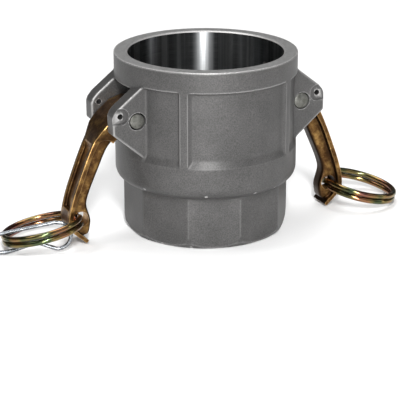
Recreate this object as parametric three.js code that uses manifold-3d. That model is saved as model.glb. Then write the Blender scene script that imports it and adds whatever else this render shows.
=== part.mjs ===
// Female cam-and-groove coupling with a female pipe thread, 2 inch size, with its two cam levers,
// lever rings, pivot pins, gasket and the two spring clips that lock the levers.
// Millimetres. The origin is the centre of the pipe-thread mouth, +Z points to the cam socket and the
// levers lie along X: the left one towards -X, the right one towards +X.
import * as THREE from 'three';
import { mergeVertices } from 'three/addons/utils/BufferGeometryUtils.js';
import Module from 'manifold-3d';

const wasm = await Module();
wasm.setup();

// ---- driving dimensions ----

// body casting
const bodyHeight = 75.3;
const rimRadius = 38;
const socketRadius = 32.3;
const rimBandHeight = 8.6;
const rimEdge = 0.8;
const lowerBandRadius = rimRadius - 0.05;
const lowerBandTop = 35.5;
const shoulderHeight = 4.6;
const hubHeight = 22.2;
const hubAcrossFlats = 66;
const hubFlats = 10;
const hubChamfer = 1.2;
const panelDepth = 1.35;
const panelLedgeHeight = 3;

// recessed panels between the ribs, as half angles from the front and back of the casting, in degrees
const panelFloorAngle = 31.5;
const panelEdgeAngle = 36.2;
const ribEndAngle = 40.4;
const sideRecessAngle = 66;

// waterway, gasket seat and pipe thread
const threadMouthRadius = 29.3;
const threadTaper = 1 / 32;
const threadDepth = 21.5;
const threadMouthChamfer = 1.1;
const waterwayRadius = 25.8;
const seatHeight = 28.6;
const gasketThickness = 6.3;
const gasketWidth = 7.9;
const gasketGrooveDepth = 1.4;

// ears, lever slot and pivot
const earOuterWidth = 31.6;
const slotWidth = 17.8;
const slotBottom = 43.9;
const slotTop = 65;
const pivotRadius = rimRadius - 1.1;
const pivotHeight = 53.1;
const pinRadius = 3.1;
const pinKnurlRadius = pinRadius + 0.25;
const pinKnurlLength = 6;
const pinInset = 0.2;
const lockHoleRadius = 1.15;
const lockHoleX = pivotRadius + 7.2;
const lockHoleZ = pivotHeight + 2.7;
const lockSpotRadius = 3.1;
const lockSpotDepth = 0.6;

// cam lever, with its side view placed from the pivot
const leverSideClearance = 0.6;
const leverHeadWidth = slotWidth - 2 * leverSideClearance;
const leverArmWidth = 11.4;
const leverTipWidth = 10.4;
const leverWebWidth = 6;
const leverFlangeThickness = 2.5;
const leverBackAtRing = 26.4;
const camReach = 8.3;
const camBack = 4.4;
const leverRingHoleX = 20.5;
const leverRingHoleZ = -42.7;
const leverChannelWidth = 8;
const leverChannelDepth = 1.5;

// split ring through each lever's tip, and how it lies in the hole there
const ringRadius = 16;
const ringWireRadius = 1.2;
const ringHoleClearance = 0.9;
const leverRingHoleRadius = 2 * ringWireRadius + ringHoleClearance;
const ringFlangeClearance = 2.7;
const leverFlangeAtRing = leverBackAtRing - leverRingHoleX - ringWireRadius - ringFlangeClearance;
const ringSag = 0.2;
const ringPose = {
  right: { droop: 13.5, roll: 4, yaw: 10 },
  left: { droop: 9.5, roll: 9.5, yaw: 0 },
};

// spring clip, hooked on the left ring, and the second one linked to it, placed from the left ring's hole
const clipWireRadius = 0.8;
const clipHeadRadius = 5.5;
const clipHeadX = 22.6;
const clipLegLength = 44.3;
const firstClipPose = { over: [-34.1, -0.8, 8.45], turn: [-8, -10.5, -18] };
const secondClipPose = { over: [-61.7, -10.7, 2.1], turn: [90, -3, 16.7] };

// clearances
const gap = 0.3;
const pinClearance = 0.3;

// smoothness
const roundSides = 80;
const holeSides = 24;
const wireSides = 8;

// ---- colours ----
const stainless = { color: 0x8d8b88, roughness: 0.55, metalness: 0.9 };
const bronze = { color: 0x8a6330, roughness: 0.4, metalness: 0.9 };
const pinSteel = { color: 0xa9aaa4, roughness: 0.35, metalness: 0.95 };
const zincYellow = { color: 0xa08a55, roughness: 0.25, metalness: 0.95 };
const springSteel = { color: 0x9a9ea3, roughness: 0.2, metalness: 1 };
const nitrile = { color: 0x17171a, roughness: 0.75, metalness: 0 };

// ---- geometry helpers ----

const degrees = THREE.MathUtils.degToRad;

// A manifold solid of a closed three.js geometry, turned right side out if its faces point inwards.
function solid(geometry) {
  const bare = geometry.clone();
  bare.deleteAttribute('normal');
  bare.deleteAttribute('uv');
  const merged = mergeVertices(bare, 1e-5);
  const points = merged.attributes.position.array;
  const corners = merged.index.array;
  const triangles = [];
  let volume = 0;
  for (let i = 0; i < corners.length; i += 3) {
    const [a, b, c] = [corners[i], corners[i + 1], corners[i + 2]];
    if (a === b || b === c || a === c) continue;
    triangles.push([a, b, c]);
    const [p, q, r] = [a, b, c].map((n) => new THREE.Vector3().fromArray(points, 3 * n));
    volume += p.dot(q.cross(r));
  }
  const ordered = volume < 0 ? triangles.map(([a, b, c]) => [a, c, b]) : triangles;
  return new wasm.Manifold(new wasm.Mesh({
    numProp: 3,
    vertProperties: new Float32Array(points),
    triVerts: new Uint32Array(ordered.flat()),
  }));
}

// The three.js geometry of a manifold solid.
function geometryOf(manifold) {
  const mesh = manifold.getMesh();
  const geometry = new THREE.BufferGeometry();
  geometry.setAttribute('position', new THREE.BufferAttribute(new Float32Array(mesh.vertProperties), 3));
  geometry.setIndex(new THREE.BufferAttribute(new Uint32Array(mesh.triVerts), 1));
  const flat = geometry.toNonIndexed();
  flat.computeVertexNormals();
  return flat;
}

function join(solids) {
  return solids.reduce((sum, next) => sum.add(next));
}

// A profile of [radius, height] points turned about Z.
function turned(profile, sides = roundSides) {
  const points = profile.map(([r, z]) => new THREE.Vector2(r, z));
  return solid(new THREE.LatheGeometry(points, sides).rotateX(Math.PI / 2));
}

// A closed loop of [radius, height] points turned about Z.
function turnedRing(profile, sides = roundSides) {
  return turned([...profile, profile[0]], sides);
}

// A flat shape in the X-Z plane, made width thick along Y and centred on y = 0.
function sideExtrusion(shape, width, bevel = 0) {
  const geometry = new THREE.ExtrudeGeometry(shape, {
    depth: width - 2 * bevel,
    bevelEnabled: bevel > 0,
    bevelThickness: bevel,
    bevelSize: bevel,
    bevelOffset: -bevel,
    bevelSegments: 2,
    curveSegments: 12,
  });
  geometry.translate(0, 0, -(width - 2 * bevel) / 2);
  return solid(geometry.rotateX(Math.PI / 2));
}

function outline(points) {
  return new THREE.Shape(points.map(([x, y]) => new THREE.Vector2(x, y)));
}

// A cylinder along Y through (x, z), from y = from to y = to.
function crossHole(x, z, radius, from, to, sides = holeSides) {
  const geometry = new THREE.CylinderGeometry(radius, radius, to - from, sides);
  return solid(geometry.translate(x, (from + to) / 2, z));
}

function block(x0, x1, y0, y1, z0, z1) {
  const geometry = new THREE.BoxGeometry(x1 - x0, y1 - y0, z1 - z0);
  return solid(geometry.translate((x0 + x1) / 2, (y0 + y1) / 2, (z0 + z1) / 2));
}

// The same solid turned half a turn about Z, for what the right and left sides share.
function halfTurn(manifold) {
  return manifold.rotate([0, 0, 180]);
}

function finish({ color, roughness, metalness }) {
  return new THREE.MeshStandardMaterial({ color, roughness, metalness });
}

function node(name, manifold, material) {
  const mesh = new THREE.Mesh(geometryOf(manifold), finish(material));
  mesh.name = name;
  return mesh;
}

// ---- body casting ----

const earOuter = earOuterWidth / 2;
const earInner = slotWidth / 2;
const gasketOuter = socketRadius + gasketGrooveDepth;
const grooveTop = seatHeight + gasketThickness + 2 * gap;

// A wedge of the casting's wall between two angles from the front, on all four sides of both panels.
function wallSector(floorAngle, edgeAngle, z0, z1) {
  const inner = rimRadius - panelDepth - 0.6;
  const outer = rimRadius + 4;
  const steps = 16;
  const points = [];
  for (let i = 0; i <= steps; i += 1) {
    const angle = degrees(-floorAngle + (2 * floorAngle * i) / steps);
    points.push([inner * Math.sin(angle), -inner * Math.cos(angle)]);
  }
  const spread = degrees(edgeAngle + (edgeAngle - floorAngle));
  for (let i = steps; i >= 0; i -= 1) {
    const angle = -spread + (2 * spread * i) / steps;
    points.push([outer * Math.sin(angle), -outer * Math.cos(angle)]);
  }
  const geometry = new THREE.ExtrudeGeometry(outline(points), { depth: z1 - z0, bevelEnabled: false });
  return solid(geometry.translate(0, 0, z0));
}

// The shallow band that the panels are cut to: a level top edge and a sloped ledge below.
function panelBand() {
  const floor = rimRadius - panelDepth;
  const top = bodyHeight - rimBandHeight;
  const slope = panelLedgeHeight / panelDepth;
  const reach = 3;
  return turnedRing([
    [floor, lowerBandTop + panelLedgeHeight],
    [rimRadius + reach, lowerBandTop - reach * slope],
    [rimRadius + reach, top],
    [floor, top],
  ]);
}

function panelRecesses() {
  const z0 = lowerBandTop - 10;
  const z1 = bodyHeight;
  const frontPanel = wallSector(panelFloorAngle, panelEdgeAngle, z0, z1);
  const middle = wallSector(ribEndAngle, ribEndAngle, z0, z1);
  const sides = wallSector(sideRecessAngle, sideRecessAngle, z0, z1).subtract(middle);
  const front = frontPanel.add(sides);
  return panelBand().intersect(front.add(halfTurn(front)));
}

// A decagonal hub with its corners turned off at the mouth.
function hub() {
  const cornerRadius = hubAcrossFlats / 2 / Math.cos(Math.PI / hubFlats);
  const geometry = new THREE.CylinderGeometry(cornerRadius, cornerRadius, hubHeight + 2, hubFlats);
  geometry.rotateX(Math.PI / 2);
  geometry.rotateZ(Math.PI / 2 + Math.PI / hubFlats);
  geometry.translate(0, 0, (hubHeight + 2) / 2);
  const envelope = turned([
    [0, 0],
    [hubAcrossFlats / 2 - 0.4, 0],
    [hubAcrossFlats / 2 + hubChamfer, hubChamfer * 1.6],
    [hubAcrossFlats / 2 + 4, hubHeight],
    [hubAcrossFlats / 2 + 4, hubHeight + 3],
    [0, hubHeight + 3],
  ]);
  return solid(geometry).intersect(envelope);
}

// The barrel above the hub: rounded shoulder, lower band, wall and rim.
function barrel() {
  const shoulder = [];
  const steps = 6;
  const innerRadius = hubAcrossFlats / 2 + 1.2;
  for (let i = 0; i <= steps; i += 1) {
    const angle = (Math.PI / 2) * (i / steps);
    shoulder.push([
      innerRadius + (lowerBandRadius - innerRadius) * Math.sin(angle),
      hubHeight + shoulderHeight * (1 - Math.cos(angle)),
    ]);
  }
  return turned([
    [0, hubHeight],
    ...shoulder,
    [lowerBandRadius, lowerBandTop],
    [rimRadius, lowerBandTop],
    [rimRadius, bodyHeight - rimEdge],
    [rimRadius - rimEdge * 0.3, bodyHeight - rimEdge * 0.3],
    [rimRadius - rimEdge, bodyHeight],
    [0, bodyHeight],
  ]);
}

// One ear's side view from the pivot: from the rim band out to the lock hole, down, and back to the wall.
const earCorners = [
  [-8.9, 8.9],
  [-8.9, -14.6],
  [-5.4, -16.5],
  [-3.3, -16.5],
  [10.4, -4.8],
  [10.5, 2.3],
  [9.7, 4.1],
  [8, 6.1],
  [-2.7, 14.5],
  [-5.9, 14.5],
];

function ears() {
  const pair = sideExtrusion(outline(earCorners), earOuterWidth, 0.7);
  const placed = pair.translate([pivotRadius, 0, pivotHeight]);
  return placed.subtract(block(0, pivotRadius * 2, -earInner, earInner, 0, bodyHeight));
}

// Everything that is machined from one end: socket, gasket groove, seat, waterway and thread.
function waterway() {
  const threadEnd = threadMouthRadius - threadTaper * threadDepth;
  return turned([
    [0, -1],
    [threadMouthRadius + threadMouthChamfer + 1, -1],
    [threadMouthRadius, threadMouthChamfer],
    [threadEnd, threadDepth],
    [waterwayRadius, threadDepth + 1.6],
    [waterwayRadius, seatHeight],
    [gasketOuter, seatHeight],
    [gasketOuter, grooveTop],
    [socketRadius, grooveTop],
    [socketRadius, bodyHeight - rimEdge],
    [socketRadius + rimEdge + 1, bodyHeight + 1],
    [0, bodyHeight + 1],
  ]);
}

function rightSideCuts() {
  const past = earOuter + 1;
  const slot = block(socketRadius - 12, lockHoleX + 16, -earInner, earInner, slotBottom, slotTop);
  const pinHole = crossHole(pivotRadius, pivotHeight, pinKnurlRadius + pinClearance, -past, past);
  const lockHole = crossHole(lockHoleX, lockHoleZ, lockHoleRadius, -past, past, 16);
  const nearSpot = crossHole(lockHoleX, lockHoleZ, lockSpotRadius, -past, lockSpotDepth - earOuter);
  const farSpot = crossHole(lockHoleX, lockHoleZ, lockSpotRadius, earOuter - lockSpotDepth, past);
  return join([slot, pinHole, lockHole, nearSpot, farSpot]);
}

function body() {
  const wall = barrel().subtract(panelRecesses());
  const rightEars = ears();
  const casting = join([hub(), wall, rightEars, halfTurn(rightEars)]);
  const rightCuts = rightSideCuts();
  return casting.subtract(join([waterway(), rightCuts, halfTurn(rightCuts)]));
}

// ---- gasket ----

function gasket() {
  const inner = gasketOuter - gasketWidth;
  const outer = gasketOuter - gap;
  const bottom = seatHeight + gap;
  const top = bottom + gasketThickness;
  const lip = 0.8;
  return turnedRing([
    [inner + lip, bottom],
    [outer, bottom],
    [outer, top],
    [inner + lip, top],
    [inner, top - lip],
    [inner, bottom + lip],
  ], 72);
}

// ---- cam lever ----

// The cam's edge round the pivot, in the lever's side view: low at the back, high towards the socket.
function camEdge() {
  const points = [];
  const from = 70;
  const to = 262;
  const steps = 18;
  for (let i = 0; i <= steps; i += 1) {
    const angle = from + ((to - from) * i) / steps;
    const rise = (1 - Math.cos((Math.PI * Math.min(angle - from, 110)) / 110)) / 2;
    const radius = camBack + (camReach - camBack) * rise;
    points.push([radius * Math.cos(degrees(angle)), radius * Math.sin(degrees(angle))]);
  }
  return points;
}

const leverHeadBottom = -4.2;
const leverShoulderBottom = -9.6;
const leverTip = -54;

function leverHead() {
  const points = [
    ...camEdge(),
    [3.6, -8.4],
    [6.6, -11.4],
    [9.2, -9.4],
    [12.6, -10.4],
    [15.9, -12.6],
    [14.9, -9.6],
    [12.4, -5.2],
    [9.1, -1.3],
    [3.1, 3.7],
  ];
  return sideExtrusion(outline(points), leverHeadWidth, 0.5);
}

// What the lever fills seen from its back: a wide head, then the arm narrowing to the tip.
function leverPlan() {
  const half = leverHeadWidth / 2;
  const arm = leverArmWidth / 2;
  const tip = leverTipWidth / 2;
  const rightEdge = [
    [tip, leverTip],
    [arm, leverShoulderBottom],
    [half, leverHeadBottom],
    [half, 12],
  ];
  const leftEdge = rightEdge.map(([y, z]) => [-y, z]).reverse();
  const plan = new THREE.ExtrudeGeometry(outline([...rightEdge, ...leftEdge]), {
    depth: 60,
    bevelEnabled: false,
  });
  plan.rotateX(Math.PI / 2);
  plan.rotateZ(Math.PI / 2);
  plan.translate(-20, 0, 0);
  return solid(plan);
}

// The deep web of the arm with the rounded end that the ring passes through.
function leverWeb() {
  const web = [
    [3.6, -8.4],
    [7.9, -13.2],
    [12.5, -22.8],
    [16.6, -32.4],
    [17.9, -36.7],
    [16.9, -40.2],
    [16, -43.4],
    [16.2, -46.2],
    [17.6, -50],
    [21.6, -49.4],
    [24.6, -46.2],
    [25.6, -42.1],
    [23.9, -34.1],
    [20.1, -23.7],
    [14.1, -9.6],
    [11.6, -5.2],
  ];
  return sideExtrusion(outline(web), leverWebWidth, 1.8);
}

// The flange on the back of the arm, which turns in below the tip as a short foot.
function leverFlange() {
  const t = leverFlangeThickness;
  const atRing = leverFlangeAtRing;
  const strip = [
    [12.4, -5.2],
    [14.9, -9.6],
    [17.9, -16.2],
    [20.9, -23.7],
    [24.7, -34.1],
    [leverBackAtRing, -42.1],
    [leverBackAtRing - 0.3, -45.2],
    [24.6, -47.6],
    [18.9, -52.8],
    [17.8, -51.7],
    [22.8, -46.9],
    [leverBackAtRing - 0.1 - atRing, -44.8],
    [leverBackAtRing - atRing, -42],
    [24.7 - t, -33.6],
    [20.9 - t, -23],
    [17.9 - t, -15.6],
    [12.5, -9.6],
  ];
  return sideExtrusion(outline(strip), leverArmWidth, 0.5);
}

// The long shallow channel down the back of the arm.
function leverChannel() {
  const d = leverChannelDepth;
  const strip = [
    [15.5, -11],
    [17.9, -16.2],
    [20.9, -23.7],
    [24.7, -34.1],
    [25.6, -38.4],
    [29, -38.4],
    [29, -11],
  ].map(([x, z]) => (x > 28 ? [x, z] : [x - d, z]));
  return sideExtrusion(outline(strip), leverChannelWidth);
}

// A lever about its pivot, pointing down the right side, before it is placed.
function lever() {
  const reach = leverHeadWidth;
  const solids = join([leverHead(), leverWeb(), leverFlange()]);
  const casting = solids.intersect(leverPlan()).subtract(leverChannel());
  const bore = crossHole(0, 0, pinKnurlRadius + pinClearance, -reach, reach);
  const ringHole = crossHole(leverRingHoleX, leverRingHoleZ, leverRingHoleRadius, -reach, reach, 20);
  return casting.subtract(bore).subtract(ringHole);
}

// ---- pivot pin: plain, with one knurled end that grips the ear ----

function pivotPin() {
  const half = earOuter - pinInset;
  const sides = 24;
  const plain = turned([
    [0, -half],
    [pinRadius - 0.3, -half],
    [pinRadius, -half + 0.3],
    [pinRadius, half - 0.1],
    [0, half - 0.1],
  ], sides);
  const head = turned([
    [0, half - pinKnurlLength],
    [pinKnurlRadius, half - pinKnurlLength],
    [pinKnurlRadius, half - 0.3],
    [pinKnurlRadius - 0.3, half],
    [0, half],
  ], sides);
  return plain.add(head).rotate([90, 0, 0]);
}

// ---- split ring: two turns of wire side by side, about Z ----

function splitRing() {
  const w = ringWireRadius;
  const profile = [];
  const arc = 5;
  for (const side of [1, -1]) {
    for (let i = 0; i <= arc; i += 1) {
      const angle = side > 0 ? (Math.PI * i) / arc : Math.PI + (Math.PI * i) / arc;
      profile.push([ringRadius + w * Math.cos(angle), side * w + w * Math.sin(angle)]);
    }
  }
  return turnedRing(profile, 56);
}

// ---- spring clip: a straight leg, a round head and a wavy leg that grips ----

// The clip's middle line from the straight leg's tip, in its own X-Z plane. The origin is the point of
// the straight leg that lies over the ring, +X points to the head and -Z to the wavy leg.
function clipPath() {
  const r = clipHeadRadius;
  const headX = clipHeadX;
  const tipX = headX - clipLegLength;
  const leg = new THREE.LineCurve3(new THREE.Vector3(tipX, 0, 0), new THREE.Vector3(headX, 0, 0));
  const bend = [];
  for (let i = 0; i <= 6; i += 1) {
    const angle = degrees(90 - (225 * i) / 6);
    bend.push(new THREE.Vector3(headX + r * Math.cos(angle), 0, -r + r * Math.sin(angle)));
  }
  const wave = [
    [14, -7],
    [9, -7.2],
    [4, -7.75],
    [0, -7.75],
    [-3.5, -6.8],
    [-6, -4.6],
    [-8.2, -3.2],
  ].map(([x, z]) => new THREE.Vector3(x, 0, z));
  const path = new THREE.CurvePath();
  path.add(leg);
  path.add(new THREE.CatmullRomCurve3([...bend, ...wave], false, 'centripetal'));
  return path;
}

function springClip() {
  const section = new THREE.Shape();
  section.absarc(0, 0, clipWireRadius, 0, 2 * Math.PI, false);
  const geometry = new THREE.ExtrudeGeometry(section, {
    steps: 64,
    extrudePath: clipPath(),
    curveSegments: wireSides,
  });
  return solid(geometry);
}

// ---- placing ----

const object = new THREE.Group();
object.add(node('body_casting', body(), stainless));
object.add(node('gasket', gasket(), nitrile));

// One side: the pivot pin, the lever on it and the ring in the lever's tip.
function leverSide(prefix, { droop, roll, yaw }) {
  const side = new THREE.Group();
  const pin = node(`${prefix}_pivot_pin`, pivotPin(), pinSteel);
  pin.position.set(pivotRadius, 0, pivotHeight);
  side.add(pin);
  const arm = node(`${prefix}_lever`, lever(), bronze);
  arm.position.set(pivotRadius, 0, pivotHeight);
  side.add(arm);
  const hanging = new THREE.Group();
  hanging.position.set(pivotRadius + leverRingHoleX, 0, pivotHeight + leverRingHoleZ - ringSag);
  hanging.rotation.set(degrees(roll), degrees(droop), degrees(-yaw), 'YZX');
  const ring = node(`${prefix}_ring`, splitRing(), zincYellow);
  ring.position.x = ringRadius;
  hanging.add(ring);
  side.add(hanging);
  return side;
}

const rightSide = leverSide('right', ringPose.right);
const leftSide = leverSide('left', ringPose.left);
leftSide.rotation.z = Math.PI;
object.add(rightSide);
object.add(leftSide);

// The clip that hangs on the left ring stands almost on edge, with its straight leg over the ring's far
// end; the second clip lies on the surface below, with its head round the first one's wavy leg.
const clips = { safety_clip_1: firstClipPose, safety_clip_2: secondClipPose };
for (const [name, { over, turn }] of Object.entries(clips)) {
  const clip = node(name, springClip(), springSteel);
  clip.position.set(...over);
  clip.position.x -= pivotRadius + leverRingHoleX;
  clip.rotation.set(...turn.map(degrees), 'ZYX');
  object.add(clip);
}

export default object;
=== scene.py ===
"""The looks of a 2 inch female cam-and-groove coupling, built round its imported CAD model.

Every shape below is written in millimetres in the part's frame, Z up and with the levers lying along X,
and is scaled to metres when its mesh is made.
"""

import math

import bmesh
import bpy
from mathutils import Matrix, Vector


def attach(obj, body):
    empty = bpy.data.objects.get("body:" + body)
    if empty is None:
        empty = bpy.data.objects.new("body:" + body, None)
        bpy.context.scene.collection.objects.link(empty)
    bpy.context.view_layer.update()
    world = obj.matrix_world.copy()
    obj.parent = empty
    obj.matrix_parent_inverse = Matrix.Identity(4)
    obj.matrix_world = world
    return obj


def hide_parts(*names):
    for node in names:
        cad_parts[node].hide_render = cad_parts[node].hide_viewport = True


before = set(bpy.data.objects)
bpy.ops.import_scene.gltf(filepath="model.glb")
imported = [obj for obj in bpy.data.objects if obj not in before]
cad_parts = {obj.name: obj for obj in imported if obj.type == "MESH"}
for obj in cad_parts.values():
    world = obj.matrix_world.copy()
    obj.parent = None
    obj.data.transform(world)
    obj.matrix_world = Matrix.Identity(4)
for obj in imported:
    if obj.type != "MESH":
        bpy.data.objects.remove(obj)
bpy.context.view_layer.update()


MM = 0.001
HALF_TURN = Matrix.Rotation(math.pi, 4, "Z")

# ---- sizes, in millimetres, as the CAD has them ----

BODY_HEIGHT = 75.3
RIM_RADIUS = 38.0
SOCKET_RADIUS = 32.3
RIM_BAND = 8.6
LOWER_BAND_RADIUS = RIM_RADIUS - 0.05
LOWER_BAND_TOP = 35.5
SHOULDER = 4.6
HUB_HEIGHT = 22.2
HUB_FLATS_ACROSS = 66.0
HUB_FLATS = 10
PANEL_DEPTH = 1.35
PANEL_LEDGE = 3.0
PANEL_FLOOR_ANGLE = 31.5
PANEL_EDGE_ANGLE = 36.2
RIB_END_ANGLE = 40.4
SIDE_RECESS_ANGLE = 66.0
THREAD_MOUTH_RADIUS = 29.3
THREAD_TAPER = 1 / 32
THREAD_DEPTH = 21.5
WATERWAY_RADIUS = 25.8
SEAT_HEIGHT = 28.6
GASKET_THICKNESS = 6.3
GASKET_WIDTH = 7.9
GROOVE_DEPTH = 1.4
EAR_WIDTH = 31.6
SLOT_WIDTH = 17.8
SLOT_BOTTOM = 43.9
SLOT_TOP = 65.0
PIVOT_X = RIM_RADIUS - 1.1
PIVOT_Z = 53.1
PIN_RADIUS = 3.1
PIN_INSET = 0.2
KNURL_RADIUS = PIN_RADIUS + 0.25
KNURL_LENGTH = 6.0
LOCK_HOLE_RADIUS = 1.15
LOCK_X = PIVOT_X + 7.2
LOCK_Z = 55.8
LOCK_SPOT_RADIUS = 3.1
LOCK_SPOT_DEPTH = 0.6
CAM_REACH = 8.3
CAM_BACK = 4.4
HEAD_WIDTH = SLOT_WIDTH - 2 * 0.6
ARM_WIDTH = 11.4
TIP_WIDTH = 10.4
RING_HOLE_X = 20.5
RING_HOLE_Z = -42.7
RING_RADIUS = 16.0
RING_WIRE = 1.2
RING_HOLE_RADIUS = 2 * RING_WIRE + 0.9
RING_SAG = 0.2
# how each ring lies: its droop, roll and yaw in degrees
RING_POSES = {"right": (13.5, 4.0, 10.0), "left": (9.5, 9.5, 0.0)}
CLIP_WIRE = 0.8
CLIP_HEAD_RADIUS = 5.5
CLIP_HEAD_X = 22.6
CLIP_LENGTH = 44.3
# where each clip's origin lies, which is on its straight leg, and its roll, pitch and yaw in degrees
CLIP_POSES = {
    "safety_clip_1": ((-91.5, -0.8, 8.45), (-8.0, -10.5, -18.0)),
    "safety_clip_2": ((-119.1, -10.7, 2.1), (90.0, -3.0, 16.7)),
}
GAP = 0.3

# ---- what only the looks have, in millimetres ----

THREAD_PITCH = 2.21
# the web and the back channel as drawn before they are softened, a little off the CAD's 6, 8 and 1.5
WEB_WIDTH = 6.6
CHANNEL_WIDTH = 7.8
CHANNEL_DEPTH = 1.6
# the wire is a little thinner than the CAD's, which keeps the visual model inside the CAD's box
DRAWN_RING_WIRE = RING_WIRE * 0.96
# grain of the even remesh that softens a casting, and its rounds of smoothing
CASTING_GRAIN, CASTING_ROUNDS = (0.42), 5
WEB_GRAIN, WEB_ROUNDS = (0.34), 70
LEVER_GRAIN, LEVER_ROUNDS = (0.26), 4
# how far a cutter stands out of the faces it opens
PROUD = 1
FLOOR_DROP = 0.2


# ---- mesh helpers ----


def polar(radius, angle):
    return radius * math.cos(angle), radius * math.sin(angle)


def moved(x, y, z):
    return Matrix.Translation(Vector((x, y, z)) * MM)


def tube_faces(rows, sides):
    """The faces of a closed tube whose points lie in rows, each row once round the tube."""
    faces = []
    for i in range(rows - 1):
        for k in range(sides):
            n = (k + 1) % sides
            faces.append((i * sides + k, i * sides + n, (i + 1) * sides + n, (i + 1) * sides + k))
    last = (rows - 1) * sides
    faces.append(tuple(reversed(range(sides))))
    faces.append(tuple(last + k for k in range(sides)))
    return faces


def mesh_object(name, points, faces):
    mesh = bpy.data.meshes.new(name)
    mesh.from_pydata([Vector(p) * MM for p in points], [], faces)
    mesh.validate()
    obj = bpy.data.objects.new(name, mesh)
    bpy.context.scene.collection.objects.link(obj)
    face_outwards(obj)
    return obj


def face_outwards(obj):
    bm = bmesh.new()
    bm.from_mesh(obj.data)
    bmesh.ops.remove_doubles(bm, verts=bm.verts, dist=1e-8)
    bmesh.ops.recalc_face_normals(bm, faces=bm.faces)
    if bm.calc_volume(signed=True) < 0:
        bmesh.ops.reverse_faces(bm, faces=bm.faces)
    bm.to_mesh(obj.data)
    bm.free()


def lathe(name, profile, sides=192):
    """A closed solid: a profile of (radius, height) points turned about Z. Points on the axis close it."""
    points, rows = [], []
    for r, z in profile:
        if r < 1e-9:
            rows.append([len(points)] * sides)
            points.append((0, 0, z))
        else:
            rows.append([len(points) + k for k in range(sides)])
            for k in range(sides):
                points.append((*polar(r, 2 * math.pi * k / sides), z))
    pairs = list(zip(rows, rows[1:]))
    if profile[0][0] > 1e-9:
        pairs.append((rows[-1], rows[0]))
    faces = []
    for low, high in pairs:
        for k in range(sides):
            n = (k + 1) % sides
            corners = [low[k], low[n], high[n], high[k]]
            unique = list(dict.fromkeys(corners))
            if len(unique) > 2:
                faces.append(unique)
    return mesh_object(name, points, faces)


def prism(name, outline, low, high, along="z"):
    """A flat outline made solid from low to high, along Z, or along Y for an outline of (x, z) points."""
    n = len(outline)
    if along == "z":
        points = [(x, y, low) for x, y in outline] + [(x, y, high) for x, y in outline]
    else:
        points = [(x, low, z) for x, z in outline] + [(x, high, z) for x, z in outline]
    sides = [(k, (k + 1) % n, n + (k + 1) % n, n + k) for k in range(n)]
    obj = mesh_object(name, points, [tuple(range(n)), tuple(range(2 * n - 1, n - 1, -1)), *sides])
    bm = bmesh.new()
    bm.from_mesh(obj.data)
    bmesh.ops.triangulate(bm, faces=[f for f in bm.faces if len(f.verts) > 4])
    bm.to_mesh(obj.data)
    bm.free()
    return obj


def box(name, low, high):
    outline = [(low[0], low[1]), (high[0], low[1]), (high[0], high[1]), (low[0], high[1])]
    return prism(name, outline, low[2], high[2])


def cross_cylinder(name, x, z, radius, low, high, sides=64):
    outline = []
    for k in range(sides):
        across, up = polar(radius, 2 * math.pi * k / sides)
        outline.append((x + across, z + up))
    return prism(name, outline, low, high, along="y")


def apply_modifiers(obj):
    depsgraph = bpy.context.evaluated_depsgraph_get()
    mesh = bpy.data.meshes.new_from_object(obj.evaluated_get(depsgraph))
    obj.modifiers.clear()
    old = obj.data
    obj.data = mesh
    bpy.data.meshes.remove(old)


def boolean(obj, other, operation):
    modifier = obj.modifiers.new("cut", "BOOLEAN")
    modifier.operation = operation
    modifier.solver = "MANIFOLD"
    modifier.object = other
    apply_modifiers(obj)
    bpy.data.objects.remove(other)
    return obj


def cut(obj, *cutters):
    for cutter in cutters:
        boolean(obj, cutter, "DIFFERENCE")
    return obj


def join(obj, *others):
    for other in others:
        boolean(obj, other, "UNION")
    return obj


def half_turn_copy(obj, name):
    """The same mesh turned half a turn about Z."""
    copy = obj.copy()
    copy.data = obj.data.copy()
    copy.name = name
    bpy.context.scene.collection.objects.link(copy)
    copy.data.transform(HALF_TURN)
    return copy


def soften(obj, voxel, rounds):
    """Rounds every edge as a casting's are: an even remesh, then a few rounds of smoothing."""
    remesh = obj.modifiers.new("remesh", "REMESH")
    remesh.mode = "VOXEL"
    remesh.voxel_size = voxel * MM
    relax = obj.modifiers.new("relax", "SMOOTH")
    relax.factor = 0.5
    relax.iterations = rounds
    apply_modifiers(obj)


def shade(obj, angle=32):
    mesh = obj.data
    mesh.shade_smooth()
    mesh.set_sharp_from_angle(angle=math.radians(angle))


def sweep(name, path, radius, sides=16, rounded_ends=True):
    """Round wire along a path of points, with rounded or square ends."""
    points = [Vector(p) for p in path]
    count = len(points)
    tangents = []
    for k in range(count):
        a = points[max(k - 1, 0)]
        b = points[min(k + 1, count - 1)]
        tangents.append((b - a).normalized())
    normal = tangents[0].orthogonal().normalized()
    rings = []
    for k in range(count):
        normal = (normal - tangents[k] * normal.dot(tangents[k])).normalized()
        side = tangents[k].cross(normal)
        rings.append((points[k], normal.copy(), side, radius))
    if rounded_ends:
        first, last = rings[0], rings[-1]
        head, tail, steps, bulge = [], [], 4, 0.8
        for k in range(1, steps + 1):
            a = (math.pi / 2) * k / steps
            r = radius * math.cos(a)
            step = radius * bulge * math.sin(a)
            head.insert(0, (first[0] - tangents[0] * step, first[1], first[2], r))
            tail.append((last[0] + tangents[-1] * step, last[1], last[2], r))
        rings = head + rings + tail
    points, narrowest = [], 1e-4
    for centre, n, s, r in rings:
        for k in range(sides):
            across, up = polar(max(r, narrowest), 2 * math.pi * k / sides)
            points.append(centre + n * across + s * up)
    return mesh_object(name, points, tube_faces(len(rings), sides))


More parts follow.
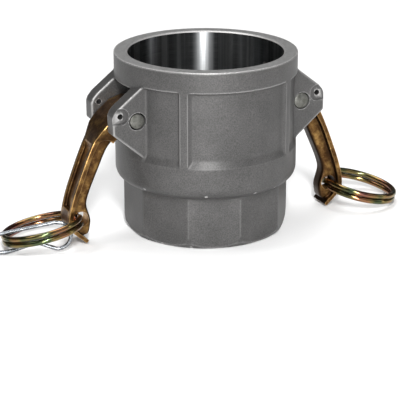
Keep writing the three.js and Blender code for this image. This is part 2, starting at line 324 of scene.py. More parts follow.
def rounded(points, steps=6, closed=True):
    """A smooth curve through 2-D points (Catmull-Rom)."""
    out = []
    n = len(points)
    spans = n if closed else n - 1
    for i in range(spans):
        if closed:
            p0, p1, p2, p3 = (Vector(points[(i + k - 1) % n]) for k in range(4))
        else:
            p1, p2 = Vector(points[i]), Vector(points[i + 1])
            p0 = Vector(points[i - 1]) if i > 0 else 2 * p1 - p2
            p3 = Vector(points[i + 2]) if i + 2 < n else 2 * p2 - p1
        knots = [0.0]
        for a, b in ((p0, p1), (p1, p2), (p2, p3)):
            knots.append(knots[-1] + math.sqrt((b - a).length))
        t0, t1, t2, t3 = knots
        for k in range(steps):
            t = t1 + (t2 - t1) * k / steps
            a1 = p0 * ((t1 - t) / (t1 - t0)) + p1 * ((t - t0) / (t1 - t0))
            a2 = p1 * ((t2 - t) / (t2 - t1)) + p2 * ((t - t1) / (t2 - t1))
            a3 = p2 * ((t3 - t) / (t3 - t2)) + p3 * ((t - t2) / (t3 - t2))
            b1 = a1 * ((t2 - t) / (t2 - t0)) + a2 * ((t - t0) / (t2 - t0))
            b2 = a2 * ((t3 - t) / (t3 - t1)) + a3 * ((t - t1) / (t3 - t1))
            out.append(b1 * ((t2 - t) / (t2 - t1)) + b2 * ((t - t1) / (t2 - t1)))
    if not closed:
        out.append(Vector(points[-1]))
    return out


# ---- body casting ----


def panel_recess():
    """What is taken off the wall: a long panel front and back, and a short one beside each ear."""
    floor = RIM_RADIUS - PANEL_DEPTH
    top = BODY_HEIGHT - RIM_BAND
    reach = 3.0
    slope = PANEL_LEDGE / PANEL_DEPTH
    band = lathe("panel_band", [
        (floor, LOWER_BAND_TOP + PANEL_LEDGE),
        (RIM_RADIUS + reach, LOWER_BAND_TOP - reach * slope),
        (RIM_RADIUS + reach, top),
        (floor, top),
    ])

    def wedge(name, floor_angle, edge_angle):
        inner, outer, steps = floor - 0.6, RIM_RADIUS + 4, 24
        spread = 2 * edge_angle - floor_angle
        outline = []
        for i in range(steps + 1):
            a = math.radians(floor_angle * (2 * i / steps - 1))
            outline.append((inner * math.sin(a), -inner * math.cos(a)))
        for i in range(steps, -1, -1):
            a = math.radians(spread * (2 * i / steps - 1))
            outline.append((outer * math.sin(a), -outer * math.cos(a)))
        return prism(name, outline, LOWER_BAND_TOP - 10, BODY_HEIGHT)

    front = wedge("front", PANEL_FLOOR_ANGLE, PANEL_EDGE_ANGLE)
    sides = wedge("sides", SIDE_RECESS_ANGLE, SIDE_RECESS_ANGLE)
    cut(sides, wedge("middle", RIB_END_ANGLE, RIB_END_ANGLE))
    join(front, sides)
    join(front, half_turn_copy(front, "back"))
    return boolean(band, front, "INTERSECT")


def hub():
    corner = HUB_FLATS_ACROSS / 2 / math.cos(math.pi / HUB_FLATS)
    outline = []
    for k in range(HUB_FLATS):
        a = 2 * math.pi * (k + 0.5) / HUB_FLATS
        outline.append(polar(corner, a))
    flats = prism("hub", outline, 0, HUB_HEIGHT + 2)
    half = HUB_FLATS_ACROSS / 2
    envelope = lathe("hub_envelope", [
        (0, 0),
        (half - 0.4, 0),
        (half + 1.2, 1.9),
        (half + 4, HUB_HEIGHT),
        (half + 4, HUB_HEIGHT + 3),
        (0, HUB_HEIGHT + 3),
    ])
    return boolean(flats, envelope, "INTERSECT")


def barrel():
    inner, shoulder, steps = HUB_FLATS_ACROSS / 2 + 1.2, [], 10
    for i in range(steps + 1):
        a = (math.pi / 2) * i / steps
        shoulder.append((
            inner + (LOWER_BAND_RADIUS - inner) * math.sin(a),
            HUB_HEIGHT + SHOULDER * (1 - math.cos(a)),
        ))
    return lathe("barrel", [
        (0, HUB_HEIGHT),
        *shoulder,
        (LOWER_BAND_RADIUS, LOWER_BAND_TOP),
        (RIM_RADIUS, LOWER_BAND_TOP),
        (RIM_RADIUS, BODY_HEIGHT),
        (0, BODY_HEIGHT),
    ])


EAR_OUTLINE = [
    (28, 62), (28, 38.5), (31.5, 36.6), (33.6, 36.6), (47.3, 48.3),
    (47.4, 55.4), (46.6, 57.2), (44.9, 59.2), (34.2, 67.6), (31, 67.6),
]


def ears():
    half = EAR_WIDTH / 2
    both = prism("ears", EAR_OUTLINE, -half, half, along="y")
    slot = SLOT_WIDTH / 2
    return cut(both, box("between", (0, -slot, 0), (80, slot, BODY_HEIGHT)))


def spot_faces():
    """The shallow recess round each lock hole, open to the ear's outer edge and broken at its own edge."""
    half, steps, past_edge = EAR_WIDTH / 2, 32, 9
    recess = (LOCK_SPOT_RADIUS, LOCK_SPOT_DEPTH)
    broken_edge = (LOCK_SPOT_RADIUS + 0.35, 0.25)
    cutters = []
    for sign in (-1, 1):
        for radius, depth in (recess, broken_edge):
            low, high = sorted((sign * (half - depth), sign * (half + 2)))
            outline = []
            for k in range(steps + 1):
                across, up = polar(radius, math.radians(90 + 180 * k / steps))
                outline.append((LOCK_X + across, LOCK_Z + up))
            outline += [(LOCK_X + past_edge, LOCK_Z - radius), (LOCK_X + past_edge, LOCK_Z + radius)]
            cutters.append(prism("spot", outline, low, high, along="y"))
    return cutters


def thread_cutter():
    """The threaded hole as a solid: a taper with a helical ridge, standing a little proud of the mouth."""
    sides, per_pitch = 144, 10
    rows = int((THREAD_DEPTH + 1.5) / THREAD_PITCH * per_pitch)
    height = 0.55 * THREAD_PITCH
    flat, slope = 0.08, 0.84
    points = []
    for i in range(rows + 1):
        z = -PROUD + (THREAD_DEPTH + PROUD) * i / rows
        for k in range(sides):
            phase = (z / THREAD_PITCH - k / sides) % 1.0
            crest = 1 - abs(2 * phase - 1)
            ridge = min(max((crest - flat) / slope, 0.0), 1.0)
            r = THREAD_MOUTH_RADIUS - height / 2 - THREAD_TAPER * max(z, 0) + height * ridge
            points.append((*polar(r, 2 * math.pi * k / sides), z))
    return mesh_object("thread", points, tube_faces(rows + 1, sides))


def socket_cutter():
    gasket_outer = SOCKET_RADIUS + GROOVE_DEPTH
    groove_top = SEAT_HEIGHT + GASKET_THICKNESS + 2 * GAP
    return lathe("socket", [
        (0, THREAD_DEPTH - 0.5),
        (THREAD_MOUTH_RADIUS - THREAD_TAPER * THREAD_DEPTH + 0.4, THREAD_DEPTH - 0.5),
        (WATERWAY_RADIUS, THREAD_DEPTH + 1.6),
        (WATERWAY_RADIUS, SEAT_HEIGHT),
        (gasket_outer, SEAT_HEIGHT),
        (gasket_outer, groove_top),
        (SOCKET_RADIUS, groove_top),
        (SOCKET_RADIUS, BODY_HEIGHT - 0.6),
        (SOCKET_RADIUS + 1.6, BODY_HEIGHT + PROUD),
        (0, BODY_HEIGHT + PROUD),
    ], sides=256)


def mouth_cutter():
    return lathe("mouth", [
        (0, -PROUD),
        (THREAD_MOUTH_RADIUS + 2.1, -PROUD),
        (THREAD_MOUTH_RADIUS - 0.6, 1.7),
        (0, 1.7),
    ])


def casting():
    body = cut(barrel(), panel_recess())
    slot = SLOT_WIDTH / 2
    right_ears = ears()
    left_ears = half_turn_copy(right_ears, "left_ears")
    join(body, hub(), right_ears, left_ears)
    for sign in (1, -1):
        low, high = sorted((sign * (SOCKET_RADIUS - 12), sign * (LOCK_X + 16)))
        cut(body, box("slot", (low, -slot, SLOT_BOTTOM), (high, slot, SLOT_TOP)))
    # a square shaft down the middle, all of it inside the later bore
    core = 15
    cut(body, box("core", (-core, -core, -PROUD), (core, core, BODY_HEIGHT + PROUD)))
    soften(body, CASTING_GRAIN, CASTING_ROUNDS)
    half = EAR_WIDTH / 2 + PROUD
    for sign in (1, -1):
        pin = cross_cylinder("pin_hole", sign * PIVOT_X, PIVOT_Z, KNURL_RADIUS + GAP, -half, half)
        lock = cross_cylinder("lock_hole", sign * LOCK_X, LOCK_Z, LOCK_HOLE_RADIUS, -half, half, 40)
        cut(body, pin, lock)
        for spot in spot_faces():
            if sign < 0:
                spot.data.transform(HALF_TURN)
            cut(body, spot)
    cut(body, socket_cutter(), thread_cutter(), mouth_cutter())
    body.name = "casting_body"
    return body


# ---- levers ----


def cam_edge():
    """The cam's edge round the pivot: it rises from its back to its full reach and stays there."""
    points, steps, start, sweep_angle, rising = [], 30, 70, 192, 110
    for i in range(steps + 1):
        degrees = start + sweep_angle * i / steps
        rise = (1 - math.cos(math.pi * min(degrees - start, rising) / rising)) / 2
        r = CAM_BACK + (CAM_REACH - CAM_BACK) * rise
        points.append(polar(r, math.radians(degrees)))
    return points


# side views of the lever from the pivot, as (x, z) points: its back, the flange's inside, the web, and
# the floor line of the channel in its back
LEVER_BACK = [
    (3.1, 3.7), (9.1, -1.3), (12.4, -5.2), (14.9, -9.6), (17.9, -16.2),
    (20.9, -23.7), (24.7, -34.1), (26.4, -42.1), (26.1, -45.2), (24.6, -47.6), (18.9, -52.8),
]
LEVER_FLANGE_INSIDE = [
    (17.8, -51.7), (22.8, -46.9), (24.3, -44.8), (24.4, -42), (22.2, -33.6),
    (18.4, -23), (15.4, -15.6), (12, -9.6), (9, -5),
]
LEVER_WEB = [
    (3.6, -8.4), (7.9, -13.2), (12.5, -22.8), (16.6, -32.4), (17.7, -36.7), (16.9, -40.2),
    (16, -43.4), (16.2, -46.2), (17.6, -50), (21.6, -49.4), (24.6, -46.2), (25.2, -42.1),
    (23.5, -34.1), (19.7, -23.7), (13.7, -9.6), (11.6, -5.2),
]
CHANNEL_TOP, CHANNEL_END = -11, -38.4
CHANNEL_LINE = [(15.5, CHANNEL_TOP), (17.9, -16.2), (20.9, -23.7), (24.7, -34.1), (25.6, CHANNEL_END)]


def lever():
    head_outline = [
        *cam_edge(), (3.6, -8.4), (6.6, -11.4), (8.2, -9.9), (10.2, -9.4), (12.6, -10.2), (15.9, -12.6),
        (14.9, -9.6), (12.4, -5.2), (9.1, -1.3), (3.1, 3.7),
    ]
    half = HEAD_WIDTH / 2
    head = prism("head", head_outline, -half, half, along="y")
    steps, head_spans = 8, 2
    back = rounded(LEVER_BACK, steps, closed=False)
    inside = rounded(LEVER_FLANGE_INSIDE, steps, closed=False)
    arm, tip = ARM_WIDTH / 2, TIP_WIDTH / 2
    flange = prism("flange", [*back[head_spans * steps:], *inside], -arm, arm, along="y")
    web = prism("web", rounded(LEVER_WEB, 6), -WEB_WIDTH / 2, WEB_WIDTH / 2, along="y")
    soften(web, WEB_GRAIN, WEB_ROUNDS)
    right_edge = [(-54, tip), (-9.6, arm), (-4.2, half), (12, half)]
    outline = [*right_edge, *[(z, -y) for z, y in reversed(right_edge)]]
    plan = prism("plan", outline, -20, 40)
    # the plan is drawn as (z, y) and raised along x, so its axes are swapped round
    plan.data.transform(Matrix(((0, 0, 1, 0), (0, 1, 0, 0), (1, 0, 0, 0), (0, 0, 0, 1))))
    face_outwards(plan)
    join(head, flange, web)
    boolean(head, plan, "INTERSECT")
    floor, run_in, outside = [], 6, 30
    for k, p in enumerate(rounded(CHANNEL_LINE, steps, closed=False)):
        depth = CHANNEL_DEPTH * math.sin(min(1, k / run_in) * math.pi / 2)
        floor.append((p[0] - depth, p[1]))
    outline = [*floor, (outside, CHANNEL_END), (outside, CHANNEL_TOP)]
    half_channel = CHANNEL_WIDTH / 2
    cut(head, prism("channel", outline, -half_channel, half_channel, along="y"))
    soften(head, LEVER_GRAIN, LEVER_ROUNDS)
    reach = HEAD_WIDTH
    cut(head, cross_cylinder("bore", 0, 0, KNURL_RADIUS + GAP, -reach, reach))
    cut(head, cross_cylinder("ring_hole", RING_HOLE_X, RING_HOLE_Z, RING_HOLE_RADIUS, -reach, reach))
    return head


def place_side(obj, side):
    """Moves a piece built about the pivot to the right side, or by half a turn to the left side."""
    obj.data.transform(moved(PIVOT_X, 0, PIVOT_Z))
    if side == "left":
        obj.data.transform(HALF_TURN)


# ---- pins, rings, clips and gasket ----


def pivot_pin(name):
    """A pin along Y with a rounded plain end and a knurled end. A knurl row is its height along the pin
    and how proud its teeth stand there, or below 0 how far the end is taken in."""
    half = EAR_WIDTH / 2 - PIN_INSET
    pin = lathe(name, [
        (0, -half), (PIN_RADIUS - 0.45, -half), (PIN_RADIUS - 0.12, -half + 0.12), (PIN_RADIUS, -half + 0.4),
        (PIN_RADIUS, half - 2), (0, half - 2),
    ], 64)
    tooth_shape, teeth, root, taken_in = (0.0, 1.0, 1.0, 0.0), 36, 0.02, 0.3
    sides = teeth * len(tooth_shape)
    start = half - KNURL_LENGTH
    rows = [(start, 0.0), (start + 0.3, 1.0), (half - 0.5, 1.0), (half - 0.2, 0.3), (half, -1.2)]
    points = []
    for z, proud in rows:
        for k in range(sides):
            tooth = tooth_shape[k % len(tooth_shape)]
            standing = (KNURL_RADIUS - PIN_RADIUS - root) * tooth * max(proud, 0)
            r = PIN_RADIUS + root + standing + min(proud, 0) * taken_in
            points.append((*polar(r, 2 * math.pi * k / sides), z))
    join(pin, mesh_object("knurl", points, tube_faces(len(rows), sides)))
    pin.data.transform(Matrix.Rotation(math.pi / 2, 4, "X"))
    return pin


def split_ring(name):
    """Two turns of wire side by side, stepping from one to the other, with its ends cut square."""
    path, steps, ramp, start = [], 240, 34, 197
    total = 720 - ramp
    for i in range(steps + 1):
        degrees = total * i / steps
        t = min(max((degrees - (360 - ramp)) / ramp, 0.0), 1.0)
        z = RING_WIRE * (2 * t * t * (3 - 2 * t) - 1)
        path.append((*polar(RING_RADIUS, math.radians(degrees + start)), z))
    return sweep(name, path, DRAWN_RING_WIRE, sides=20, rounded_ends=False)


def ring_matrix(side):
    """Where a ring lies: hung on the lever's hole, drooping outwards, turned and rolled."""
    droop, roll, yaw = (math.radians(v) for v in RING_POSES[side])
    turn = Matrix.Rotation(droop, 4, "Y") @ Matrix.Rotation(-yaw, 4, "Z") @ Matrix.Rotation(roll, 4, "X")
    hole = moved(PIVOT_X + RING_HOLE_X, 0, PIVOT_Z + RING_HOLE_Z - RING_SAG)
    placed = hole @ turn @ moved(RING_RADIUS, 0, 0)
    if side == "left":
        placed = HALF_TURN @ placed
    return placed


def clip_path():
    """The clip's wire in its own plane: the straight leg, round the head, and back along the wavy leg."""
    r, leg_steps, bend_steps, bend_angle = CLIP_HEAD_RADIUS, 24, 6, 225
    tip = CLIP_HEAD_X - CLIP_LENGTH + 0.8 * CLIP_WIRE
    leg = [(tip + (CLIP_HEAD_X - tip) * i / leg_steps, 0) for i in range(leg_steps)]
    bend = []
    for i in range(bend_steps + 1):
        across, up = polar(r, math.radians(90 - bend_angle * i / bend_steps))
        bend.append((CLIP_HEAD_X + across, -r + up))
    wave = [(14, -7), (9, -7.2), (4, -7.75), (0, -7.75), (-3.5, -6.8), (-6, -4.6), (-8.2, -3.2)]
    curve = rounded([*bend, *wave], 9, closed=False)
    return [Vector((x, 0, z)) for x, z in [*leg, *curve]]


def spring_clip(name):
    obj = sweep(name, clip_path(), CLIP_WIRE, sides=16)
    over, turn = CLIP_POSES[name]
    roll, pitch, yaw = (math.radians(v) for v in turn)
    rotation = Matrix.Rotation(yaw, 4, "Z") @ Matrix.Rotation(pitch, 4, "Y") @ Matrix.Rotation(roll, 4, "X")
    obj.data.transform(moved(*over) @ rotation)
    return obj


def gasket(name):
    gasket_outer = SOCKET_RADIUS + GROOVE_DEPTH
    inner = gasket_outer - GASKET_WIDTH
    outer = gasket_outer - GAP
    bottom = SEAT_HEIGHT + GAP
    top = bottom + GASKET_THICKNESS
    edge, nose, nose_side, groove = 0.3, 0.8, 0.25, 0.25
    return lathe(name, [
        (inner + nose, bottom), (outer - edge, bottom), (outer, bottom + edge),
        (outer, top - edge), (outer - edge, top),
        (inner + 3.2, top), (inner + 3.0, top - groove), (inner + 2.4, top - groove), (inner + 2.2, top),
        (inner + nose, top), (inner + nose_side, top - edge), (inner, top - nose),
        (inner, bottom + nose), (inner + nose_side, bottom + edge),
    ])


# ---- materials ----


class Nodes:
    """A material's node tree with short calls for what the finishes share."""

    def __init__(self, name, color, metallic, roughness):
        self.material = bpy.data.materials.new(name)
        self.material.use_nodes = True
        self.tree = self.material.node_tree
        self.shader = self.tree.nodes["Principled BSDF"]
        self.shader.inputs["Base Color"].default_value = (*color, 1)
        self.shader.inputs["Metallic"].default_value = metallic
        self.shader.inputs["Roughness"].default_value = roughness
        self.place = self.tree.nodes.new("ShaderNodeTexCoord").outputs["Object"]

    def new(self, kind, **settings):
        node = self.tree.nodes.new(kind)
        for key, value in settings.items():
            setattr(node, key, value)
        return node

    def link(self, source, target):
        self.tree.links.new(source, target)

    def scaled(self, x, y, z):
        mapping = self.new("ShaderNodeMapping")
        mapping.inputs["Scale"].default_value = (x, y, z)
        self.link(self.place, mapping.inputs["Vector"])
        return mapping.outputs["Vector"]

    def noise(self, scale, detail=3, roughness=0.55, vector=None):
        node = self.new("ShaderNodeTexNoise")
        node.inputs["Scale"].default_value = scale
        node.inputs["Detail"].default_value = detail
        node.inputs["Roughness"].default_value = roughness
        self.link(vector if vector is not None else self.place, node.inputs["Vector"])
        return node.outputs["Fac"]

    def ramp(self, value, *stops):
        node = self.new("ShaderNodeValToRGB")
        elements = node.color_ramp.elements
        while len(elements) < len(stops):
            elements.new(0.5)
        for element, (position, color) in zip(elements, stops):
            element.position = position
            element.color = (*color, 1) if len(color) == 3 else color
        self.link(value, node.inputs["Fac"])
        return node.outputs["Color"]

    def span(self, value, low, high, out_low, out_high):
        node = self.new("ShaderNodeMapRange")
        for key, number in (("From Min", low), ("From Max", high), ("To Min", out_low), ("To Max", out_high)):
            node.inputs[key].default_value = number
        self.link(value, node.inputs["Value"])
        return node.outputs["Result"]

    def mix(self, factor, a, b, mode="MIX"):
        node = self.new("ShaderNodeMix", data_type="RGBA", blend_type=mode)
        for socket, value in ((node.inputs[0], factor), (node.inputs[6], a), (node.inputs[7], b)):
            if isinstance(value, bpy.types.NodeSocket):
                self.link(value, socket)
            elif isinstance(value, tuple):
                socket.default_value = (*value, 1)
            else:
                socket.default_value = value
        return node.outputs[2]

    def math(self, operation, a, b=0.0):
        node = self.new("ShaderNodeMath", operation=operation)
        for socket, value in ((node.inputs[0], a), (node.inputs[1], b)):
            if isinstance(value, bpy.types.NodeSocket):
                self.link(value, socket)
            else:
                socket.default_value = value
        return node.outputs[0]

    def bump(self, height, strength, distance_mm, under=None):
        node = self.new("ShaderNodeBump")
        node.inputs["Strength"].default_value = strength
        node.inputs["Distance"].default_value = distance_mm * MM
        self.link(height, node.inputs["Height"])
        if under is not None:
            self.link(under, node.inputs["Normal"])
        self.link(node.outputs["Normal"], self.shader.inputs["Normal"])
        return node.outputs["Normal"]

    def edge(self, low, high):
        """0 in hollows to 1 on raised edges."""
        geometry = self.new("ShaderNodeNewGeometry")
        return self.span(geometry.outputs["Pointiness"], low, high, 0, 1)

    def crevice(self, distance_mm, low=0.35, high=0.95):
        """0 in the piece's own crevices and under its overhangs, to 1 where it is open."""
        node = self.new("ShaderNodeAmbientOcclusion", only_local=True, samples=8)
        node.inputs["Distance"].default_value = distance_mm * MM
        return self.span(node.outputs["AO"], low, high, 0, 1)

    def facing_out(self):
        """0 on faces turned towards the coupling's axis along X, to 1 on all the others. The normal is the
        world's, so on a lever that is swung away from rest it no longer matches the place."""
        places = self.new("ShaderNodeSeparateXYZ")
        self.link(self.place, places.inputs[0])
        normals = self.new("ShaderNodeSeparateXYZ")
        self.link(self.new("ShaderNodeNewGeometry").outputs["Normal"], normals.inputs[0])
        outward = self.math("MULTIPLY", places.outputs["X"], normals.outputs["X"])
        return self.span(outward, -0.03, -0.006, 0, 1)

    def color(self, value):
        self.link(value, self.shader.inputs["Base Color"])

    def roughness(self, value):
        self.link(value, self.shader.inputs["Roughness"])


def cast_steel():
    """Blasted investment-cast stainless steel: matt grey with a fine bright grain, lighter on raised edges
    from wear and a painted highlight, with painted shade in its hollows and crevices.
    """
    m = Nodes("cast_stainless", (0.14, 0.14, 0.14), 0.5, 0.45)
    m.shader.inputs["Specular IOR Level"].default_value = 0.2
    grain = m.noise(2100, 3, 0.6)
    patch = m.noise(60, 3, 0.6)
    base = m.ramp(patch, (0.3, (0.070, 0.069, 0.068)), (0.7, (0.092, 0.090, 0.089)))
    speck = m.ramp(grain, (0.3, (0.68, 0.68, 0.68)), (0.7, (1.3, 1.3, 1.3)))
    toned = m.mix(1.0, base, speck, "MULTIPLY")
    # raised edges lighter: partly wear, partly a painted highlight
    worn_and_highlit = m.mix(m.edge(0.508, 0.56), toned, (0.36, 0.355, 0.35))
    # painted shade: darker grey in the hollows
    shaded = m.mix(m.edge(0.42, 0.495), (0.07, 0.068, 0.068), worn_and_highlit)
    # painted shade: near-black in crevices and under overhangs, such as under the ears
    m.color(m.mix(m.crevice(7.0), (0.05, 0.048, 0.048), shaded))
    m.roughness(m.span(grain, 0.3, 0.7, 0.40, 0.50))
    first = m.bump(m.noise(900, 4, 0.7), 0.35, 0.1)
    m.bump(m.noise(220, 3, 0.5), 0.25, 0.15, under=first)
    return m.material


def faced_steel():
    """The faced end of the rim: smoother and lighter than the casting, with faint turning rings, and lighter
    on its edges from wear and a painted highlight.
    """
    m = Nodes("faced_stainless", (0.3, 0.3, 0.3), 0.7, 0.4)
    lines = m.noise(1.0, 2, 0.6, m.scaled(900, 900, 900))
    base = m.ramp(lines, (0.3, (0.26, 0.258, 0.255)), (0.7, (0.38, 0.378, 0.375)))
    # edges lighter: partly wear, partly a painted highlight on the rim's rounded edges
    m.color(m.mix(m.edge(0.51, 0.57), base, (0.62, 0.61, 0.60)))
    m.roughness(m.span(lines, 0.3, 0.7, 0.36, 0.48))
    m.bump(m.noise(1600, 3, 0.6), 0.2, 0.05)
    return m.material


def machined_steel():
    """Turned stainless steel: bright, with fine rings left by the tool, and light and dark vertical streaks
    painted in as reflections.
    """
    m = Nodes("machined_stainless", (0.5, 0.5, 0.5), 1.0, 0.3)
    m.shader.inputs["Anisotropic"].default_value = 0.95
    m.shader.inputs["Anisotropic Rotation"].default_value = 0.25
    tangent = m.new("ShaderNodeTangent", direction_type="RADIAL", axis="Z")
    m.link(tangent.outputs["Tangent"], m.shader.inputs["Tangent"])
    # painted reflection: noise stretched along the axis, toned below into light and dark vertical streaks
    # down the bore
    upright_reflection_streaks = m.noise(1.0, 3, 0.6, m.scaled(260, 260, 4))
    lines = m.noise(1.0, 2, 0.6, m.scaled(20, 20, 6000))
    tone = m.ramp(
        upright_reflection_streaks,
        (0.36, (0.06, 0.064, 0.066)),
        (0.5, (0.13, 0.136, 0.14)),
        (0.64, (0.30, 0.308, 0.312)),
    )
    m.color(m.mix(m.span(lines, 0.35, 0.65, 0.0, 0.35), tone, (0.2, 0.2, 0.2)))
    m.roughness(m.span(lines, 0.3, 0.7, 0.32, 0.44))
    m.bump(lines, 0.12, 0.02)
    return m.material


def bronze():
    """Cast bronze: dark brown in the hollows from tarnish and painted shade, painted shade on the faces
    turned towards the coupling, and golden on faces rubbed bright and on raised edges, the edges from wear
    and a painted highlight.
    """
    m = Nodes("cast_bronze", (0.3, 0.18, 0.07), 0.95, 0.38)
    patch = m.noise(190, 5, 0.65)
    fine = m.noise(900, 3, 0.65)
    base = m.ramp(
        patch,
        (0.30, (0.035, 0.016, 0.006)),
        (0.5, (0.11, 0.056, 0.020)),
        (0.66, (0.30, 0.18, 0.062)),
    )
    speck = m.ramp(fine, (0.35, (0.7, 0.66, 0.6)), (0.6, (1.1, 1.08, 1.05)))
    toned = m.mix(1.0, base, speck, "MULTIPLY")
    # raised edges golden: partly wear, partly a painted highlight
    worn_and_highlit = m.mix(m.edge(0.51, 0.58), toned, (0.72, 0.44, 0.17))
    # hollows near-black: partly tarnish, partly painted shade
    shaded = m.mix(m.edge(0.42, 0.495), (0.03, 0.014, 0.006), worn_and_highlit)
    # painted shade: faces turned towards the coupling's axis darkened
    inner_faces_shaded = m.mix(m.facing_out(), (0.035, 0.018, 0.008), shaded)
    # crevices and the undersides of overhangs darkened: partly tarnish, partly painted shade
    m.color(m.mix(m.crevice(4.0), (0.03, 0.014, 0.006), inner_faces_shaded))
    m.roughness(m.span(patch, 0.3, 0.7, 0.46, 0.28))
    first = m.bump(m.noise(1100, 3, 0.6), 0.3, 0.1)
    m.bump(m.noise(260, 3, 0.5), 0.35, 0.18, under=first)
    return m.material


def yellow_zinc():
    """Yellow iridescent zinc plating, drifting from gold to pink and green along the wire."""
    m = Nodes("yellow_zinc", (0.6, 0.5, 0.25), 1.0, 0.2)
    drift = m.noise(110, 2, 0.5)
    m.color(m.ramp(
        drift,
        (0.34, (0.20, 0.085, 0.07)),
        (0.45, (0.27, 0.14, 0.07)),
        (0.55, (0.21, 0.155, 0.06)),
        (0.66, (0.07, 0.09, 0.045)),
    ))
    m.roughness(m.span(m.noise(700, 2, 0.5), 0.3, 0.7, 0.14, 0.26))
    m.bump(m.noise(1400, 2, 0.5), 0.12, 0.04)
    return m.material


def spring_wire():
    """Bright drawn spring wire."""
    m = Nodes("spring_wire", (0.6, 0.61, 0.63), 1.0, 0.16)
    m.color(m.ramp(m.noise(300, 3, 0.5), (0.3, (0.12, 0.13, 0.14)), (0.7, (0.26, 0.27, 0.285))))
    m.roughness(m.span(m.noise(900, 2, 0.5), 0.3, 0.7, 0.22, 0.34))
    m.bump(m.noise(700, 2, 0.5), 0.05, 0.02)
    return m.material


def pin_steel():
    """Plain steel, dulled and a little rough."""
    m = Nodes("pin_steel", (0.5, 0.5, 0.48), 0.9, 0.4)
    m.color(m.ramp(m.noise(500, 4, 0.6), (0.3, (0.07, 0.07, 0.06)), (0.7, (0.19, 0.19, 0.175))))
    m.roughness(m.span(m.noise(900, 2, 0.5), 0.3, 0.7, 0.32, 0.5))
    m.bump(m.noise(1500, 3, 0.6), 0.3, 0.06)
    return m.material


def nitrile():
    """Matt black rubber."""
    m = Nodes("nitrile", (0.012, 0.012, 0.013), 0.0, 0.55)
    m.color(m.ramp(m.noise(400, 3, 0.6), (0.3, (0.009, 0.009, 0.010)), (0.7, (0.02, 0.02, 0.021))))
    m.roughness(m.span(m.noise(800, 2, 0.5), 0.3, 0.7, 0.48, 0.66))
    m.bump(m.noise(2200, 3, 0.6), 0.15, 0.04)
    return m.material


def machined_faces(obj, cast, machined, faced):
    """Gives the bored, threaded and faced surfaces their finish and leaves the rest as cast."""
    mesh = obj.data
    mesh.materials.clear()
    for material in (cast, machined, faced):
        mesh.materials.append(material)
    machined_index, faced_index = 1, 2
    straight = 0.9
    bore_limits = (20, SOCKET_RADIUS + 0.9)
    groove_limits = (SEAT_HEIGHT - 0.1, SEAT_HEIGHT + 8)
    slot_from = (29, SLOT_WIDTH / 2 - 0.3)
    for polygon in mesh.polygons:
        c, n = polygon.center / MM, polygon.normal
        r = math.hypot(c.x, c.y)
        inward = (n.x * c.x + n.y * c.y) < -0.02 * max(r, 1)
        level = abs(n.z) > straight
        bored = bore_limits[0] < r < bore_limits[1] and (inward or level) and c.z < BODY_HEIGHT + 0.1
        grooved = groove_limits[0] < c.z < groove_limits[1] and r < SOCKET_RADIUS + 2
        slot_side = abs(c.x) > slot_from[0] and abs(c.y) > slot_from[1] and abs(n.y) > straight
        hub_face = c.z < 0.05
        rim_top = c.z > BODY_HEIGHT - 0.5 and n.z > 0.6
        if rim_top:
            polygon.material_index = faced_index
        elif (bored or grooved) and not slot_side and not hub_face:
            polygon.material_index = machined_index


# ---- building ----


def dress(obj, material, body, node):
    """Puts a piece on its body in place of its CAD node. The material is None where the faces have theirs."""
    if material is not None:
        obj.data.materials.clear()
        obj.data.materials.append(material)
    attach(obj, body)
    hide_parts(node)


cast_finish = cast_steel()
machined_finish = machined_steel()
body = casting()
shade(body)
machined_faces(body, cast_finish, machined_finish, faced_steel())
dress(body, None, "coupler_body", "body_casting")

seal = gasket("gasket_ring")
shade(seal, 40)
dress(seal, nitrile(), "coupler_body", "gasket")

lever_finish = bronze()
pin_finish = pin_steel()
ring_finish = yellow_zinc()
first_lever = lever()
for side in ("right", "left"):
    arm = first_lever.copy()
    arm.data = first_lever.data.copy()
    arm.name = f"{side}_cam_lever"
    bpy.context.scene.collection.objects.link(arm)
    place_side(arm, side)
    shade(arm)
    dress(arm, lever_finish, f"{side}_lever", f"{side}_lever")

    pin = pivot_pin(f"{side}_pin")
    place_side(pin, side)
    shade(pin, 30)
    dress(pin, pin_finish, "coupler_body", f"{side}_pivot_pin")

    ring = split_ring(f"{side}_split_ring")
    ring.data.transform(ring_matrix(side))
    shade(ring, 50)
    dress(ring, ring_finish, f"{side}_ring", f"{side}_ring")
bpy.data.objects.remove(first_lever)

clip_finish = spring_wire()
for name, rides in (("safety_clip_1", "clip_1"), ("safety_clip_2", "clip_2")):
    clip = spring_clip(name)
    clip.name = f"{name}_wire"
    shade(clip, 50)
    dress(clip, clip_finish, rides, name)


# ---- floor, light and camera ----


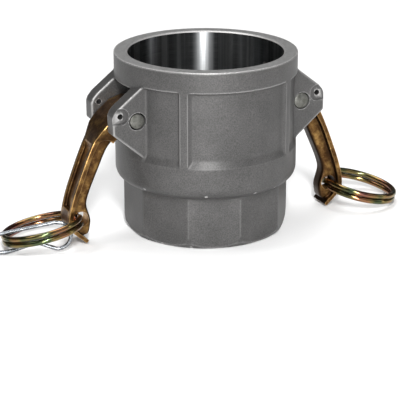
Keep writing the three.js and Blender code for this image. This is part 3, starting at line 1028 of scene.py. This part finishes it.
def floor():
    mesh = bpy.data.meshes.new("floor")
    half, z = 6.0, -FLOOR_DROP * MM
    corners = [(-half, -half, z), (half, -half, z), (half, half, z), (-half, half, z)]
    mesh.from_pydata(corners, [], [(0, 1, 2, 3)])
    obj = bpy.data.objects.new("floor", mesh)
    bpy.context.scene.collection.objects.link(obj)
    m = Nodes("pale_floor", (0.9, 0.9, 0.9), 0.0, 0.85)
    m.color(m.ramp(m.noise(3, 2, 0.5), (0.3, (0.88, 0.88, 0.88)), (0.7, (0.92, 0.92, 0.92))))
    mesh.materials.append(m.material)


def area_light(name, location, target, power, size, size_y=None):
    """A lamp that looks at its target: a square, or a rectangle where size_y is given. Metres and watts."""
    data = bpy.data.lights.new(name, "AREA")
    data.energy = power
    data.size = size
    if size_y:
        data.shape = "RECTANGLE"
        data.size_y = size_y
    obj = bpy.data.objects.new(name, data)
    obj.location = location
    obj.rotation_euler = (Vector(target) - Vector(location)).to_track_quat("-Z", "Y").to_euler()
    bpy.context.scene.collection.objects.link(obj)


def lights():
    middle = (0, 0, 0.04)
    behind = (0.0, 0.2, 0.0)
    area_light("key", (-0.35, -0.96, 0.84), middle, power=16, size=0.08, size_y=0.4)
    area_light("front", (-0.36, -0.92, 0.20), middle, power=6, size=0.10, size_y=0.3)
    area_light("fill", (0.55, -0.85, 0.75), middle, power=1.2, size=0.8)
    area_light("top", (0.05, 0.45, 1.4), behind, power=15, size=1.0)
    area_light("left_high", (-0.75, 0.1, 1.1), middle, power=2.5, size=0.3)
    area_light("right_strip", (0.95, -0.42, 0.40), middle, power=1.0, size=0.07, size_y=0.6)
    world = bpy.data.worlds.new("studio")
    world.use_nodes = True
    background = world.node_tree.nodes["Background"]
    background.inputs["Color"].default_value = (1, 1, 1, 1)
    background.inputs["Strength"].default_value = 0.08
    bpy.context.scene.world = world
    bpy.context.scene.view_settings.view_transform = "Standard"


def camera():
    """The picture's view, in metres: from the front, a little to the left and above."""
    data = bpy.data.cameras.new("camera")
    data.lens = 142
    data.sensor_width = 36
    obj = bpy.data.objects.new("camera", data)
    obj.location = (-0.2601, -0.5766, 0.2361)
    target = Vector((-0.00215, 0.00096, 0.00939))
    obj.rotation_euler = (target - obj.location).to_track_quat("-Z", "Y").to_euler()
    data.clip_start = 0.01
    bpy.context.scene.collection.objects.link(obj)
    bpy.context.scene.camera = obj


floor()
lights()
camera()
